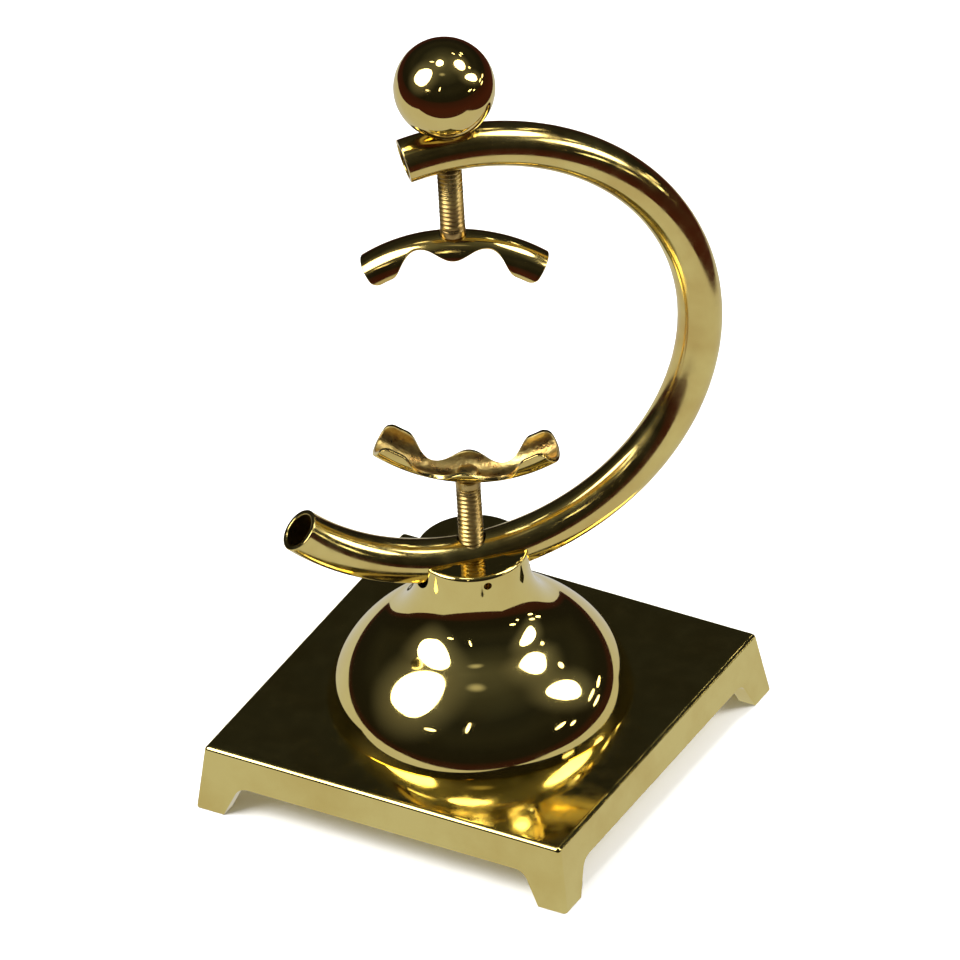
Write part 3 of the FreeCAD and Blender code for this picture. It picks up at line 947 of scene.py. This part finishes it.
spark = glow("ceiling_strip", 6.0, (1.0, 0.93, 0.75))
ceiling_distance = 3.0
for index, (azimuth, elevation, width, height, lean) in enumerate((
    (-12, 33, 0.06, 0.24, 15),
    (-43, 25, 0.24, 0.06, -10),
    (-117, 68, 0.06, 0.24, 0),
    (100, 38, 0.11, 0.11, 0),
    (147, 56, 0.15, 0.06, 0),
    (139, 42, 0.15, 0.06, 0),
    (134, 48, 0.15, 0.06, 0),
    (95, 9, 0.26, 0.06, 0),
    (107, 7, 0.22, 0.06, 0),
    (96, 3, 0.24, 0.05, 0),
    (60, 12, 0.26, 0.06, 0),
    (70, 7, 0.14, 0.05, 0),
)):
    strip_name = "ceiling_strip_%d" % index
    lamp_card(strip_name, azimuth, elevation, ceiling_distance, width, height, lean, spark)

world = bpy.data.worlds.new("room")
world.use_nodes = True
nodes, links = world.node_tree.nodes, world.node_tree.links
nodes.clear()
direction = nodes.new("ShaderNodeTexCoord").outputs["Generated"]
split = nodes.new("ShaderNodeSeparateXYZ")
links.new(direction, split.inputs["Vector"])
lift = nodes.new("ShaderNodeMapRange")
lift.inputs["From Min"].default_value = -1.0
links.new(split.outputs["Z"], lift.inputs["Value"])
wall = nodes.new("ShaderNodeValToRGB")
wall.color_ramp.elements[0].position = 0.0
wall.color_ramp.elements[0].color = (0.05, 0.02, 0.014, 1)
wall.color_ramp.elements[1].position = 1.0
wall.color_ramp.elements[1].color = (0.09, 0.09, 0.075, 1)
for position, colour in (
    (0.33, (0.06, 0.016, 0.012)),
    (0.42, (0.045, 0.014, 0.011)),
    (0.49, (0.034, 0.013, 0.010)),
    (0.52, (0.014, 0.012, 0.009)),
    (0.60, (0.014, 0.013, 0.010)),
    (0.70, (0.022, 0.021, 0.016)),
    (0.80, (0.018, 0.018, 0.015)),
    (0.92, (0.045, 0.045, 0.036)),
):
    wall.color_ramp.elements.new(position).color = (*colour, 1)
links.new(lift.outputs["Result"], wall.inputs["Fac"])
room = nodes.new("ShaderNodeBackground")
links.new(wall.outputs["Color"], room.inputs["Color"])
backdrop = nodes.new("ShaderNodeBackground")
backdrop.inputs["Color"].default_value = (1, 1, 1, 1)
backdrop.inputs["Strength"].default_value = 1.0
fill = nodes.new("ShaderNodeBackground")
fill.inputs["Color"].default_value = (1, 1, 1, 1)
fill.inputs["Strength"].default_value = 0.55
path = nodes.new("ShaderNodeLightPath")
soft = nodes.new("ShaderNodeMixShader")
links.new(path.outputs["Is Glossy Ray"], soft.inputs["Fac"])
links.new(fill.outputs["Background"], soft.inputs[1])
links.new(room.outputs["Background"], soft.inputs[2])
seen = nodes.new("ShaderNodeMixShader")
links.new(path.outputs["Is Camera Ray"], seen.inputs["Fac"])
links.new(soft.outputs["Shader"], seen.inputs[1])
links.new(backdrop.outputs["Background"], seen.inputs[2])
links.new(seen.outputs["Shader"], nodes.new("ShaderNodeOutputWorld").inputs["Surface"])
bpy.context.scene.world = world
bpy.context.scene.view_settings.view_transform = "Standard"

# Camera. A long lens from the front, a little above, with the stand's upright axis
# leaning slightly in the picture.

camera_roll = math.radians(3.4254)
camera_distance = 9.0
frame_width = 239.888 * mm
target_above_plate = 52.381 * mm
target_aside = 0.118 * mm
sensor = 36.0
back = Vector((
    math.sin(camera_azimuth) * math.cos(camera_elevation),
    -math.cos(camera_azimuth) * math.cos(camera_elevation),
    math.sin(camera_elevation),
))
level = Vector((math.cos(camera_azimuth), math.sin(camera_azimuth), 0))
upward = back.cross(level)
right = level * math.cos(camera_roll) - upward * math.sin(camera_roll)
top = level * math.sin(camera_roll) + upward * math.cos(camera_roll)
target = Vector((0, 0, plate_top)) - right * target_aside + top * target_above_plate
lens = bpy.data.cameras.new("camera")
lens.sensor_width = sensor
lens.lens = sensor * camera_distance / frame_width
lens.clip_end = 50
camera = bpy.data.objects.new("camera", lens)
camera.rotation_mode = "QUATERNION"
camera.location = target + back * camera_distance
basis = [[right[i], top[i], back[i]] for i in range(3)]
camera.rotation_quaternion = Matrix(basis).to_quaternion()
bpy.context.scene.collection.objects.link(camera)
bpy.context.scene.camera = camera

low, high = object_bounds()
